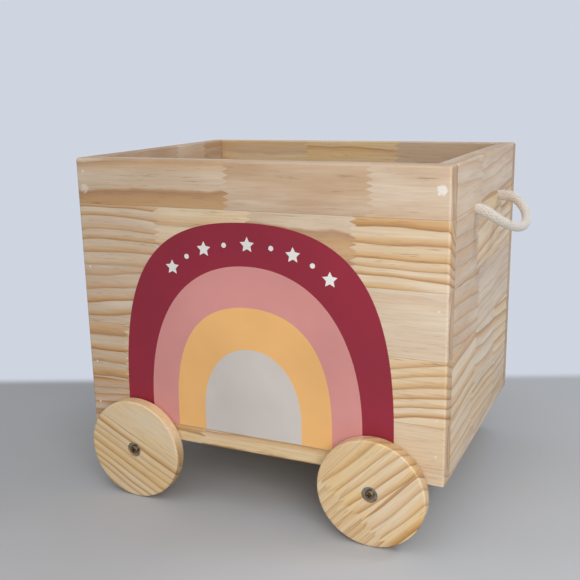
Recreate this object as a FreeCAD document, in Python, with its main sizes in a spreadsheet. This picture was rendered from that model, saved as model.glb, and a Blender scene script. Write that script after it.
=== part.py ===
import FreeCAD, Part
import math
import os

import Sketcher

# Wooden toy box on four solid wheels, open at the top, with a rope handle at each end and a
# rainbow of four coloured bands on its front.
#
# Frame: origin on the floor under the middle of the box, +Z up, +X along the long side, and the
# rainbow front faces -Y. Millimetres.
#
# The walls are glued pine boards. The front and back boards run the full length and the end
# boards butt between them. Two battens under the floor board carry the four wheels, each on a
# pan-head screw with a washer on either side.

Vector = FreeCAD.Vector
Rotation = FreeCAD.Rotation

DIMENSIONS = (
    # the carcass
    ("box_length", 400),
    ("box_depth", 300),
    ("wall_height", 300),
    ("board", 18),
    ("floor_board", 15),
    ("outer_round", 3),
    ("inner_round", 1),
    # wheels and what holds them
    ("wheel_diameter", 110),
    ("wheel_thickness", 14),
    ("wheel_spacing", 270),
    ("wheel_shift", -3.5),
    ("wheel_round", 2),
    ("wheel_play", 0.15),
    ("bore_clearance", 0.08),
    ("recess_diameter", 16.5),
    ("recess_depth", 3),
    ("batten_width", 40),
    ("batten_height", 25),
    ("batten_round", 1),
    ("washer_diameter", 15),
    ("washer_thickness", 1.2),
    ("wheel_screw_diameter", 5),
    ("wheel_screw_length", 50),
    ("wheel_screw_tip", 7),
    ("pan_head_diameter", 9.4),
    ("pan_head_height", 3),
    ("pan_head_round", 1.6),
    ("cross_length", 5),
    ("cross_width", 1.3),
    ("cross_depth", 1.9),
    # fasteners in the wood
    ("brad_diameter", 1.8),
    ("brad_length", 35),
    ("corner_screw_diameter", 3.5),
    ("corner_screw_length", 38),
    ("corner_head_diameter", 7.5),
    ("corner_head_height", 3.2),
    ("filler_diameter", 8),
    ("filler_depth", 2.5),
    ("brad_filler_diameter", 2.6),
    ("brad_filler_depth", 1),
    ("batten_screw_diameter", 4),
    ("batten_screw_length", 36),
    ("batten_head_diameter", 8),
    ("batten_head_height", 3.4),
    ("batten_screw_spacing", 85),
    # rope handles
    ("rope_diameter", 10),
    ("rope_hole_diameter", 10.7),
    ("rope_hole_spacing", 108),
    ("rope_level", 318),
    ("rope_gap", 0.4),
    ("knot_length", 24),
    ("knot_width", 30),
    ("tail_length", 16),
    # rainbow
    ("decal_thickness", 0.3),
    ("decal_bottom", 87),
    ("arch_spring", 110),
    ("star_thickness", 0.2),
    ("star_radius", 8),
    ("dot_radius", 2.6),
)

# Heights above the floor of the brads and of the one screw in each upright corner.
BRAD_LEVELS = {"left": (98, 145, 252, 354), "right": (98, 134, 238)}
CORNER_SCREW_LEVELS = {"left": 336, "right": 346}

# Each band's outer outline: name, half width, height of its top, and how full its shoulders are.
ARCHES = (
    ("burgundy_band", 150.4, 308.4, 0.725),
    ("pink_band", 118.9, 265.3, 0.62),
    ("mustard_band", 87.5, 223.4, 0.655),
    ("grey_arch", 54.8, 180.0, 0.585),
)

# A star has this many points, and its inner corners lie at this share of its radius.
STAR_POINTS = 5
STAR_WAIST = 0.5

# Stars and dots take turns down each half of their band, this share of the curve apart.
STAR_STEPS = 5
STAR_STEP = 0.1

# A bend in the rope uses this share of the shorter run beside it.
BEND_SHARE = 0.45

# Two measures closer than this are the same.
SAME = 0.01

# The right-hand rope's loop between its two holes, from front to back. The left one mirrors it.
ROPE_ROUTE = (
    (219, -50, 308.5),
    (233.5, -30, 296.5),
    (240, 0, 295.5),
    (234, 30, 306),
    (218.5, 49, 317),
)

# Expressions that several pieces share.
WHEEL_LEVEL = "dims.wheel_diameter / 2"
BATTEN_LEVEL = "(dims.wheel_diameter - dims.batten_height) / 2"
WALL_LEVEL = "(dims.wheel_diameter + dims.batten_height) / 2"
CORNER = "(dims.box_length - dims.board) / 2"
HALF_DEPTH = "dims.box_depth / 2"
BORE = "(dims.wheel_screw_diameter / 2 + dims.bore_clearance)"

SIDES = (("left", -1), ("right", 1))
ENDS = (("front", -1), ("rear", 1))

doc = FreeCAD.newDocument("toy_box")
sheet = doc.addObject("Spreadsheet::Sheet", "dims")
for row, (alias, value) in enumerate(DIMENSIONS, start=1):
    sheet.set(f"A{row}", alias)
    sheet.set(f"B{row}", str(value))
    sheet.setAlias(f"B{row}", alias)
doc.recompute()

nodes = {}


def size(alias):
    """A driving dimension, in millimetres, for shapes that are made in code."""
    return float(sheet.get(alias))


def bind(thing, **expressions):
    """Binds properties to expressions of the sheet; a double underscore stands for a dot."""
    for name, expression in expressions.items():
        thing.setExpression(name.replace("__", "."), expression)
    return thing


def place(thing, x="0", y="0", z="0", turn=None):
    """Sets a piece's rotation, then binds its position."""
    if turn is not None:
        thing.Placement = FreeCAD.Placement(Vector(), turn)
    return bind(thing, Placement__Base__x=x, Placement__Base__y=y, Placement__Base__z=z)


def keep(thing, node):
    """Makes a document object one of the part's named nodes."""
    thing.Label = node
    nodes[node] = thing
    return thing


def primitive(kind, name, **expressions):
    """A Part primitive with its sizes bound to the sheet."""
    return bind(doc.addObject("Part::" + kind, name), **expressions)


def fused(name, base, tool):
    joined = doc.addObject("Part::Fuse", name)
    joined.Base = base
    joined.Tool = tool
    return joined


def cut(name, base, tool):
    rest = doc.addObject("Part::Cut", name)
    rest.Base = base
    rest.Tool = tool
    return rest


def group(name, members):
    """Separate solids that share one node."""
    compound = doc.addObject("Part::Compound", name)
    compound.Links = members
    return compound


# ---------------------------------------------------------------- sketches and PartDesign bodies


def sketch_on(body, role, name):
    """An empty sketch on one of the body's own origin planes."""
    plane = next(item for item in body.Origin.OriginFeatures if item.Role == role)
    sketch = body.newObject("Sketcher::SketchObject", name)
    sketch.AttachmentSupport = (plane, [""])
    sketch.MapMode = "FlatFace"
    return sketch


def close_loop(sketch, corners):
    """Straight edges through the corners, joined end to end. Returns the first edge's index."""
    first = sketch.GeometryCount
    count = len(corners)
    for index in range(count):
        start = Vector(*corners[index], 0)
        end = Vector(*corners[(index + 1) % count], 0)
        sketch.addGeometry(Part.LineSegment(start, end), False)
    for index in range(count):
        follower = first + (index + 1) % count
        sketch.addConstraint(Sketcher.Constraint("Coincident", first + index, 2, follower, 1))
    return first


def add_rectangle(sketch, width, height):
    """A rectangle centred on the sketch's origin; width and height are expressions."""
    first = close_loop(sketch, ((-1, -1), (1, -1), (1, 1), (-1, 1)))
    sketch.addConstraint(Sketcher.Constraint("Horizontal", first))
    sketch.addConstraint(Sketcher.Constraint("Vertical", first + 1))
    sketch.addConstraint(Sketcher.Constraint("Horizontal", first + 2))
    sketch.addConstraint(Sketcher.Constraint("Vertical", first + 3))
    sketch.addConstraint(Sketcher.Constraint("Symmetric", first, 1, first + 1, 2, -1, 1))
    across = sketch.addConstraint(Sketcher.Constraint("DistanceX", first, 1, first, 2, 2))
    up = sketch.addConstraint(Sketcher.Constraint("DistanceY", first + 1, 1, first + 1, 2, 2))
    sketch.setExpression(f"Constraints[{across}]", width)
    sketch.setExpression(f"Constraints[{up}]", height)


def add_profile(sketch, corners):
    """A closed outline of straight edges. Each corner is a pair of expressions, none negative."""
    count = len(corners)
    turns = [2 * math.pi * index / count for index in range(count)]
    start = [(2 + math.cos(turn), 2 + math.sin(turn)) for turn in turns]
    first = close_loop(sketch, start)
    for index, (across, up) in enumerate(corners):
        edge = first + index
        for kind, axis, value in (("DistanceX", -2, across), ("DistanceY", -1, up)):
            if value == "0":
                sketch.addConstraint(Sketcher.Constraint("PointOnObject", edge, 1, axis))
                continue
            made = sketch.addConstraint(Sketcher.Constraint(kind, -1, 1, edge, 1, 2))
            sketch.setExpression(f"Constraints[{made}]", value)


def add_circle(sketch, diameter, x="0", y="0"):
    """A circle whose diameter and centre are expressions."""
    circle = sketch.addGeometry(Part.Circle(Vector(1, 1, 0), Vector(0, 0, 1), 1), False)
    wide = sketch.addConstraint(Sketcher.Constraint("Diameter", circle, 2))
    sketch.setExpression(f"Constraints[{wide}]", diameter)
    if x == "0" and y == "0":
        sketch.addConstraint(Sketcher.Constraint("Coincident", circle, 3, -1, 1))
        return
    across = sketch.addConstraint(Sketcher.Constraint("DistanceX", -1, 1, circle, 3, 1))
    up = sketch.addConstraint(Sketcher.Constraint("DistanceY", -1, 1, circle, 3, 1))
    sketch.setExpression(f"Constraints[{across}]", x)
    sketch.setExpression(f"Constraints[{up}]", y)


def pad(body, sketch, name, length):
    feature = body.newObject("PartDesign::Pad", name)
    feature.Profile = sketch
    return bind(feature, Length=length)


def pocket(body, sketch, name, depth):
    feature = body.newObject("PartDesign::Pocket", name)
    feature.Profile = sketch
    return bind(feature, Length=depth)


def round_edges(body, name, chosen, radius):
    """Rounds those edges of the body's tip whose middle the test accepts."""
    doc.recompute()
    base = body.Tip
    names = []
    for index, edge in enumerate(base.Shape.Edges, start=1):
        middle = edge.valueAt((edge.FirstParameter + edge.LastParameter) / 2)
        if chosen(middle, edge):
            names.append(f"Edge{index}")
    if not names:
        raise RuntimeError(f"{name} found no edge to round")
    feature = body.newObject("PartDesign::Fillet", name)
    feature.Base = (base, names)
    return bind(feature, Radius=radius)


def near(value, target):
    return abs(value - target) < SAME


# ---------------------------------------------------------------------------------- the carcass


def make_long_wall(name, side):
    """The front (side -1) or back (side 1) board, its outer edges and its rim rounded."""
    body = doc.addObject("PartDesign::Body", name + "_board")
    sketch = sketch_on(body, "XY_Plane", name + "_outline")
    add_rectangle(sketch, "dims.box_length", "dims.board")
    pad(body, sketch, name + "_pad", "dims.wall_height")
    outside = side * size("board") / 2
    end = size("box_length") / 2
    top = size("wall_height")

    def outer(middle, edge):
        short_end = near(abs(middle.x), end) and near(middle.y, 0)
        return near(middle.y, outside) or short_end

    def rim(middle, edge):
        return near(middle.y, -outside) and near(middle.z, top)

    round_edges(body, name + "_outer_round", outer, "dims.outer_round")
    round_edges(body, name + "_inner_round", rim, "dims.inner_round")
    place(body, y=f"{side} * (dims.box_depth - dims.board) / 2", z=WALL_LEVEL)
    return body


def make_end_wall(name, side):
    """The left (side -1) or right (side 1) board with its two rope holes."""
    body = doc.addObject("PartDesign::Body", name + "_board")
    sketch = sketch_on(body, "XY_Plane", name + "_outline")
    add_rectangle(sketch, "dims.board", "dims.box_depth - 2 * dims.board")
    pad(body, sketch, name + "_pad", "dims.wall_height")
    holes = sketch_on(body, "YZ_Plane", name + "_rope_holes")
    for hand in (-1, 1):
        across = f"{hand} * dims.rope_hole_spacing / 2"
        add_circle(holes, "dims.rope_hole_diameter", across, f"dims.rope_level - {WALL_LEVEL}")
    drilled = pocket(body, holes, name + "_rope_pocket", "2 * dims.board")
    drilled.Midplane = True
    outside = side * size("board") / 2
    top = size("wall_height")

    def outer(middle, edge):
        along = near(middle.y, 0)
        return along and near(middle.x, outside) and (near(middle.z, top) or near(middle.z, 0))

    def rim(middle, edge):
        return near(middle.y, 0) and near(middle.x, -outside) and near(middle.z, top)

    round_edges(body, name + "_outer_round", outer, "dims.outer_round")
    round_edges(body, name + "_inner_round", rim, "dims.inner_round")
    place(body, x=f"{side} * {CORNER}", z=WALL_LEVEL)
    return body


def make_floor():
    """The floor board, flush with the lower edges of the walls."""
    inside = "dims.{} - 2 * dims.board"
    floor = primitive(
        "Box",
        "floor_blank",
        Length=inside.format("box_length"),
        Width=inside.format("box_depth"),
        Height="dims.floor_board",
    )
    half = "dims.board - dims.{} / 2"
    return place(floor, half.format("box_length"), half.format("box_depth"), WALL_LEVEL)


def batten_x(side):
    return f"(dims.wheel_shift + {side} * dims.wheel_spacing / 2)"


def make_batten(name, side):
    """A front-to-back batten with softened long edges."""
    body = doc.addObject("PartDesign::Body", name + "_blank")
    sketch = sketch_on(body, "XY_Plane", name + "_outline")
    add_rectangle(sketch, "dims.batten_width", "dims.box_depth")
    pad(body, sketch, name + "_pad", "dims.batten_height")
    round_edges(
        body,
        name + "_round",
        lambda middle, edge: near(middle.z, 0) and near(middle.y, 0),
        "dims.batten_round",
    )
    return place(body, x=batten_x(side), z=BATTEN_LEVEL)


# --------------------------------------------------------------------------- wheels and fittings


def make_wheel(name, side, end):
    """A solid disc with a bore and a shallow recess for the washer in its outer face."""
    body = doc.addObject("PartDesign::Body", name)
    disc = sketch_on(body, "XZ_Plane", name + "_disc")
    add_circle(disc, "dims.wheel_diameter")
    pad(body, disc, name + "_pad", "dims.wheel_thickness")
    # The pad grows along local -Y, so the outer face is the one furthest that way.
    recess = sketch_on(body, "XZ_Plane", name + "_recess_outline")
    add_circle(recess, "dims.recess_diameter")
    bind(recess, AttachmentOffset__Base__z="dims.wheel_thickness")
    pocket(body, recess, name + "_recess", "dims.recess_depth")
    bore = sketch_on(body, "XZ_Plane", name + "_bore_outline")
    add_circle(bore, f"2 * {BORE}")
    drilled = pocket(body, bore, name + "_bore", "3 * dims.wheel_thickness")
    drilled.Midplane = True
    rim = size("wheel_diameter") / 2

    def tread(middle, edge):
        return near(math.hypot(middle.x, middle.z), rim) and len(edge.Vertexes) == 1

    round_edges(body, name + "_round", tread, "dims.wheel_round")
    inner_face = f"{end} * (dims.box_depth / 2 + dims.washer_thickness + dims.wheel_play)"
    turn = Rotation(Vector(0, 0, 1), 0 if end < 0 else 180)
    place(body, batten_x(side), inner_face, WHEEL_LEVEL, turn)
    return keep(body, name)


def make_washer(name, side, end, distance):
    """A flat washer whose inner face is that distance out from the face of the box."""
    outer = primitive(
        "Cylinder", name + "_disc", Radius="dims.washer_diameter / 2", Height="dims.washer_thickness"
    )
    inner = primitive(
        "Cylinder", name + "_hole", Radius=BORE, Height="dims.washer_thickness"
    )
    washer = cut(name, outer, inner)
    turn = Rotation(Vector(1, 0, 0), -90 * end)
    place(washer, batten_x(side), f"{end} * ({HALF_DEPTH} + {distance})", WHEEL_LEVEL, turn)
    return keep(washer, name)


def make_wheel_screw(name, side, end, distance):
    """A pan-head screw with a cross recess; the head's underside is that far from the box."""
    body = doc.addObject("PartDesign::Body", name)
    shank = "dims.wheel_screw_diameter / 2"
    head = "dims.pan_head_diameter / 2"
    under = "dims.wheel_screw_length"
    top = "dims.wheel_screw_length + dims.pan_head_height"
    profile = sketch_on(body, "XZ_Plane", name + "_profile")
    corners = (("0", "0"), (shank, "dims.wheel_screw_tip"), (shank, under), (head, under))
    add_profile(profile, corners + ((head, top), ("0", top)))
    turned = body.newObject("PartDesign::Revolution", name + "_turned")
    turned.Profile = profile
    turned.ReferenceAxis = (profile, ["V_Axis"])
    turned.Angle = 360
    high = size("wheel_screw_length") + size("pan_head_height")

    def crown(middle, edge):
        return near(middle.z, high) and len(edge.Vertexes) == 1

    round_edges(body, name + "_crown", crown, "dims.pan_head_round")
    cross = sketch_on(body, "XY_Plane", name + "_cross")
    bind(cross, AttachmentOffset__Base__z=top)
    add_rectangle(cross, "dims.cross_length", "dims.cross_width")
    pocket(body, cross, name + "_slot", "dims.cross_depth")
    cross = sketch_on(body, "XY_Plane", name + "_cross_two")
    bind(cross, AttachmentOffset__Base__z=top)
    add_rectangle(cross, "dims.cross_width", "dims.cross_length")
    pocket(body, cross, name + "_slot_two", "dims.cross_depth")
    turn = Rotation(Vector(1, 0, 0), -90 * end)
    start = f"{end} * ({HALF_DEPTH} + {distance} - {under})"
    place(body, batten_x(side), start, WHEEL_LEVEL, turn)
    return keep(body, name)


def make_corner_wheel(side_name, side, end_name, end):
    """One wheel with its spacer washer, outer washer and screw. Returns the screw."""
    name = f"{end_name}_{side_name}_wheel"
    recess_floor = (
        "dims.washer_thickness + 2 * dims.wheel_play + dims.wheel_thickness - dims.recess_depth"
    )
    make_wheel(name, side, end)
    make_washer(name + "_spacer", side, end, "0")
    make_washer(name + "_washer", side, end, recess_floor)
    return make_wheel_screw(name + "_screw", side, end, f"{recess_floor} + dims.washer_thickness")


# -------------------------------------------------------------------------- fasteners in the wood


def make_round_filler(name, kind, x, y, z, turn):
    """A round of wood filler, flush with the surface at x, y, z."""
    filler = primitive(
        "Cylinder", name, Radius=f"dims.{kind}_diameter / 2", Height=f"dims.{kind}_depth"
    )
    return place(filler, x, y, z, turn)


def make_brads():
    """Brads through the front and back boards into the end boards, each sunk under filler."""
    brads = []
    fillers = []
    for side_name, side in SIDES:
        for end_name, end in ENDS:
            for number, level in enumerate(BRAD_LEVELS[side_name], start=1):
                name = f"{end_name}_{side_name}_brad_{number}"
                turn = Rotation(Vector(1, 0, 0), 90 * end)
                x = f"{side} * {CORNER}"
                brad = primitive(
                    "Cylinder", name, Radius="dims.brad_diameter / 2", Height="dims.brad_length"
                )
                sunk = f"{end} * ({HALF_DEPTH} - dims.brad_filler_depth)"
                brads.append(place(brad, x, sunk, str(level), turn))
                spot = (x, f"{end} * {HALF_DEPTH}", str(level), turn)
                fillers.append(make_round_filler(name + "_filler", "brad_filler", *spot))
    return (
        keep(group("brad_group", brads), "corner_brads"),
        keep(group("brad_filler_group", fillers), "brad_fillers"),
    )


def make_countersunk(name, kind, depth, x, y, z, turn):
    """A countersunk screw that starts that far under the surface at x, y, z."""
    head = primitive(
        "Cone",
        name + "_head",
        Radius1=f"dims.{kind}_head_diameter / 2",
        Radius2=f"dims.{kind}_screw_diameter / 2",
        Height=f"dims.{kind}_head_height",
    )
    shank = primitive(
        "Cylinder",
        name + "_shank",
        Radius=f"dims.{kind}_screw_diameter / 2",
        Height=f"dims.{kind}_screw_length - {depth}",
    )
    bind(head, Placement__Base__z=depth)
    bind(shank, Placement__Base__z=depth)
    return place(fused(name, head, shank), x, y, z, turn)


def make_corner_screws():
    """One screw near the top of each corner, sunk under a round of wood filler."""
    screws = []
    fillers = []
    for side_name, side in SIDES:
        for end_name, end in ENDS:
            name = f"{end_name}_{side_name}_corner"
            turn = Rotation(Vector(1, 0, 0), 90 * end)
            level = str(CORNER_SCREW_LEVELS[side_name])
            spot = (f"{side} * {CORNER}", f"{end} * {HALF_DEPTH}", level, turn)
            fillers.append(make_round_filler(name + "_filler", "filler", *spot))
            screws.append(make_countersunk(name + "_screw", "corner", "dims.filler_depth", *spot))
    return (
        keep(group("corner_screw_group", screws), "corner_screws"),
        keep(group("corner_filler_group", fillers), "corner_fillers"),
    )


def make_batten_screws():
    """Screws that go up through the battens into the floor board."""
    made = []
    for side_name, side in SIDES:
        for step in (-1, 0, 1):
            name = f"{side_name}_batten_screw_{step + 2}"
            along = f"{step} * dims.batten_screw_spacing"
            made.append(
                make_countersunk(name, "batten", "0", batten_x(side), along, BATTEN_LEVEL, None)
            )
    return keep(group("batten_screw_group", made), "batten_screws")


# ------------------------------------------------------------------------------------ rope handle


def mirrored(points, side):
    return [Vector(side * point[0], point[1], point[2]) for point in points]


def rope_path(name, points):
    """Straight runs joined by tangent arcs, each as large as its two runs allow."""
    edges = []
    start = points[0]
    radii = []
    for before, corner, after in zip(points, points[1:], points[2:]):
        incoming = corner - before
        outgoing = after - corner
        half_turn = incoming.getAngle(outgoing) / 2
        setback = BEND_SHARE * min(incoming.Length, outgoing.Length)
        radii.append(setback / math.tan(half_turn))
        incoming.normalize()
        outgoing.normalize()
        leave = corner - incoming * setback
        arrive = corner + outgoing * setback
        inward = (outgoing - incoming).normalize()
        middle = corner + inward * radii[-1] * (1 / math.cos(half_turn) - 1)
        edges.append(Part.LineSegment(start, leave).toShape())
        edges.append(Part.Arc(leave, middle, arrive).toShape())
        start = arrive
    edges.append(Part.LineSegment(start, points[-1]).toShape())
    print(name, "bend radii", [round(radius, 1) for radius in radii])
    return Part.Wire(edges)


def make_rope_loop(name, side):
    """The free loop outside the box. Each end is a ball that turns in front of its hole."""
    radius = size("rope_diameter") / 2
    mouth = size("box_length") / 2 + size("rope_gap") + radius
    half_spacing = size("rope_hole_spacing") / 2
    first = (mouth, -half_spacing, size("rope_level"))
    last = (mouth, half_spacing, size("rope_level"))
    points = mirrored((first,) + ROPE_ROUTE + (last,), side)
    path = rope_path(name, points)
    section = Part.Wire(Part.Circle(points[0], points[1] - points[0], radius).toShape())
    tube = path.makePipeShell([section], True, True)
    expected = math.pi * radius**2 * path.Length
    print(name, "tube volume", round(tube.Volume), "of", round(expected))
    balls = [Part.makeSphere(radius, point) for point in (points[0], points[-1])]
    loop = doc.addObject("Part::Feature", name)
    loop.Shape = tube.fuse(balls).removeSplitter()
    return keep(loop, name)


def make_rope_knots(name, side):
    """Inside the box, each rope end is a stopper knot with a short tail; a stub fills its hole."""
    made = []
    inner_face = f"{side} * (dims.box_length / 2 - dims.board)"
    for end_name, end in ENDS:
        piece = f"{name}_{end_name}"
        across = f"{end} * dims.rope_hole_spacing / 2"
        spot = (across, "dims.rope_level")
        turn = Rotation(Vector(0, 1, 0), 90 * side)
        stub = primitive(
            "Cylinder",
            piece + "_stub",
            Radius="dims.rope_diameter / 2",
            Height="dims.board + dims.knot_length / 2",
        )
        place(stub, f"{inner_face} - {side} * dims.knot_length / 2", *spot, turn)
        knot = primitive(
            "Ellipsoid",
            piece + "_knot",
            Radius1="dims.knot_length / 2",
            Radius2="dims.knot_width / 2",
            Radius3="dims.knot_width / 2",
        )
        place(knot, f"{inner_face} - {side} * dims.knot_length / 2", *spot, turn)
        tail = primitive(
            "Cylinder",
            piece + "_tail",
            Radius="dims.rope_diameter / 2",
            Height="dims.tail_length + dims.knot_length / 2",
        )
        tail_start = f"{inner_face} - {side} * (dims.tail_length + dims.knot_length)"
        place(tail, tail_start, *spot, turn)
        made.append(fused(piece, fused(piece + "_stopper", stub, knot), tail))
    return keep(group(name + "_group", made), name)


# ---------------------------------------------------------------------------------------- rainbow


def arch_curve(half_width, top, fullness):
    """The four control points of the right half of an arch's head, as (x, z) pairs."""
    spring = size("arch_spring")
    return (
        (half_width, spring),
        (half_width, spring + fullness * (top - spring)),
        (fullness * half_width, top),
        (0, top),
    )


def arch_prism(half_width, top, fullness, thickness):
    """An arch with straight legs and a full, smooth head, as a thin plate on the front face."""
    face_y = -size("box_depth") / 2
    bottom = size("decal_bottom")
    right = [Vector(x, face_y, z) for x, z in arch_curve(half_width, top, fullness)]
    left = [Vector(-point.x, point.y, point.z) for point in right]
    curves = []
    for poles in (right, left[::-1]):
        curve = Part.BezierCurve()
        curve.setPoles(poles)
        curves.append(curve.toShape())
    right_foot = Vector(half_width, face_y, bottom)
    left_foot = Vector(-half_width, face_y, bottom)
    wire = Part.Wire(
        [
            Part.LineSegment(right_foot, right[0]).toShape(),
            curves[0],
            curves[1],
            Part.LineSegment(left[0], left_foot).toShape(),
            Part.LineSegment(left_foot, right_foot).toShape(),
        ]
    )
    return Part.Face(wire).extrude(Vector(0, -thickness, 0))


def make_rainbow():
    """Four bands that meet edge to edge, from the outermost in."""
    thickness = size("decal_thickness")
    prisms = [arch_prism(*arch[1:], thickness) for arch in ARCHES]
    for index, (name, *_) in enumerate(ARCHES):
        inner = prisms[index + 1 : index + 2]
        band = doc.addObject("Part::Feature", name)
        band.Shape = prisms[index].cut(inner[0]) if inner else prisms[index]
        keep(band, name)


def bezier_point(poles, share):
    """A point of a cubic Bezier curve, with x and z counted from its control points."""
    rest = 1 - share
    weights = (rest**3, 3 * rest**2 * share, 3 * rest * share**2, share**3)
    return tuple(sum(w * pole[axis] for w, pole in zip(weights, poles)) for axis in (0, 1))


def star_outline(radius):
    """The corners of a star with a point upward, outer and inner by turns."""
    corners = []
    for step in range(2 * STAR_POINTS):
        reach = radius if step % 2 == 0 else STAR_WAIST * radius
        turn = math.pi / 2 + step * math.pi / STAR_POINTS
        corners.append((reach * math.cos(turn), reach * math.sin(turn)))
    return corners


def make_stars():
    """Stars with dots between them, along the middle of the outermost band, from its top down."""
    (_, wide, high, full), (_, narrow, low, slack) = ARCHES[:2]
    middle = arch_curve((wide + narrow) / 2, (high + low) / 2, (full + slack) / 2)
    face_y = -size("box_depth") / 2 - size("decal_thickness")
    thickness = Vector(0, -size("star_thickness"), 0)
    places = [(0, 1)] + [(step, side) for step in range(1, STAR_STEPS) for side in (-1, 1)]
    solids = []
    for step, side in places:
        x, z = bezier_point(middle, 1 - STAR_STEP * step)
        centre = Vector(side * x, face_y, z)
        if step % 2 == 0:
            corners = [centre + Vector(dx, 0, dz) for dx, dz in star_outline(size("star_radius"))]
            face = Part.Face(Part.makePolygon(corners + corners[:1]))
        else:
            ring = Part.Circle(centre, Vector(0, 1, 0), size("dot_radius"))
            face = Part.Face(Part.Wire(ring.toShape()))
        solids.append(face.extrude(thickness))
    stars = doc.addObject("Part::Feature", "white_stars")
    stars.Shape = Part.Compound(solids)
    keep(stars, "white_stars")


# ------------------------------------------------------------------------------------- the object


def make_box():
    """Every node. Boards are drilled with the fasteners that go into them."""
    in_corners = make_brads() + make_corner_screws()
    batten_screws = make_batten_screws()
    wheel_screws = [
        make_corner_wheel(side_name, side, end_name, end)
        for side_name, side in SIDES
        for end_name, end in ENDS
    ]
    corner_tools = group("corner_tools", list(in_corners))
    for name, side in (("front_panel", -1), ("back_panel", 1)):
        keep(cut(name, make_long_wall(name, side), corner_tools), name)
    for side_name, side in SIDES:
        name = side_name + "_end_panel"
        keep(cut(name, make_end_wall(name, side), corner_tools), name)
    keep(cut("floor_panel", make_floor(), batten_screws), "floor_panel")
    batten_tools = group("batten_tools", [batten_screws] + wheel_screws)
    for side_name, side in SIDES:
        name = side_name + "_batten"
        keep(cut(name, make_batten(name, side), batten_tools), name)
    for side_name, side in SIDES:
        make_rope_loop(side_name + "_rope_handle", side)
        make_rope_knots(side_name + "_rope_knots", side)
    make_rainbow()
    make_stars()


def check_and_export():
    """Stops on any failed object or bad solid, then writes one STEP file per node."""
    doc.recompute()
    for thing in doc.Objects:
        if "Invalid" in thing.State or "Error" in thing.State:
            raise RuntimeError(f"{thing.Name} failed: {thing.State}")
    for node, thing in nodes.items():
        shape = thing.Shape
        if shape.isNull() or not shape.isValid() or not shape.Solids:
            raise RuntimeError(f"{node} has no valid solid")
    os.makedirs("parts", exist_ok=True)
    for node, thing in nodes.items():
        thing.Shape.exportStep(os.path.join("parts", node + ".step"))
        box = thing.Shape.BoundBox
        print(
            f"{node:28s} solids {len(thing.Shape.Solids):2d} volume {thing.Shape.Volume:10.1f}"
            f"  x {box.XMin:7.1f} {box.XMax:7.1f}  y {box.YMin:7.1f} {box.YMax:7.1f}"
            f"  z {box.ZMin:7.1f} {box.ZMax:7.1f}"
        )


make_box()
check_and_export()
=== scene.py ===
import math
import random
from collections import namedtuple

import bmesh
import bpy
from mathutils import Matrix, Vector


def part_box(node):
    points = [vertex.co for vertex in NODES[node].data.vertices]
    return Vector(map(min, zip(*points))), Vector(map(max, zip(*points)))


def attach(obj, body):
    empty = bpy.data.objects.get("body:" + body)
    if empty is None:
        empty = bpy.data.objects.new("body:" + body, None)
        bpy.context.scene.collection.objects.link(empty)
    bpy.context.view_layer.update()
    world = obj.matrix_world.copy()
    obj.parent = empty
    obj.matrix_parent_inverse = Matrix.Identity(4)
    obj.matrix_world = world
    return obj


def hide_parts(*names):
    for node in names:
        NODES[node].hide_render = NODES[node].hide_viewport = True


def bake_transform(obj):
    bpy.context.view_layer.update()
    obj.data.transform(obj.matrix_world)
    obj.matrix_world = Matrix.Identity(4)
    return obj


# The looks of a wooden toy box on wheels: glued pine boards with finger-jointed staves, a matt
# rainbow, braided cotton rope handles with stopper knots, and plated hub fittings.
# Metres throughout. The rainbow front faces -Y, and the box stands on z = 0.

MM = 0.001

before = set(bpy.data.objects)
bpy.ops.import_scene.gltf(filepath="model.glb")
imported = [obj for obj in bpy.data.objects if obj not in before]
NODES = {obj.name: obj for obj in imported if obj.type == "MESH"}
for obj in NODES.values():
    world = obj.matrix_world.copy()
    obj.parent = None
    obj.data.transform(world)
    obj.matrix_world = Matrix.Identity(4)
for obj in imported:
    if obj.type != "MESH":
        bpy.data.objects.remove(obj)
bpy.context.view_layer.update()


# ------------------------------------------------------------------------------- shader building


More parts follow.
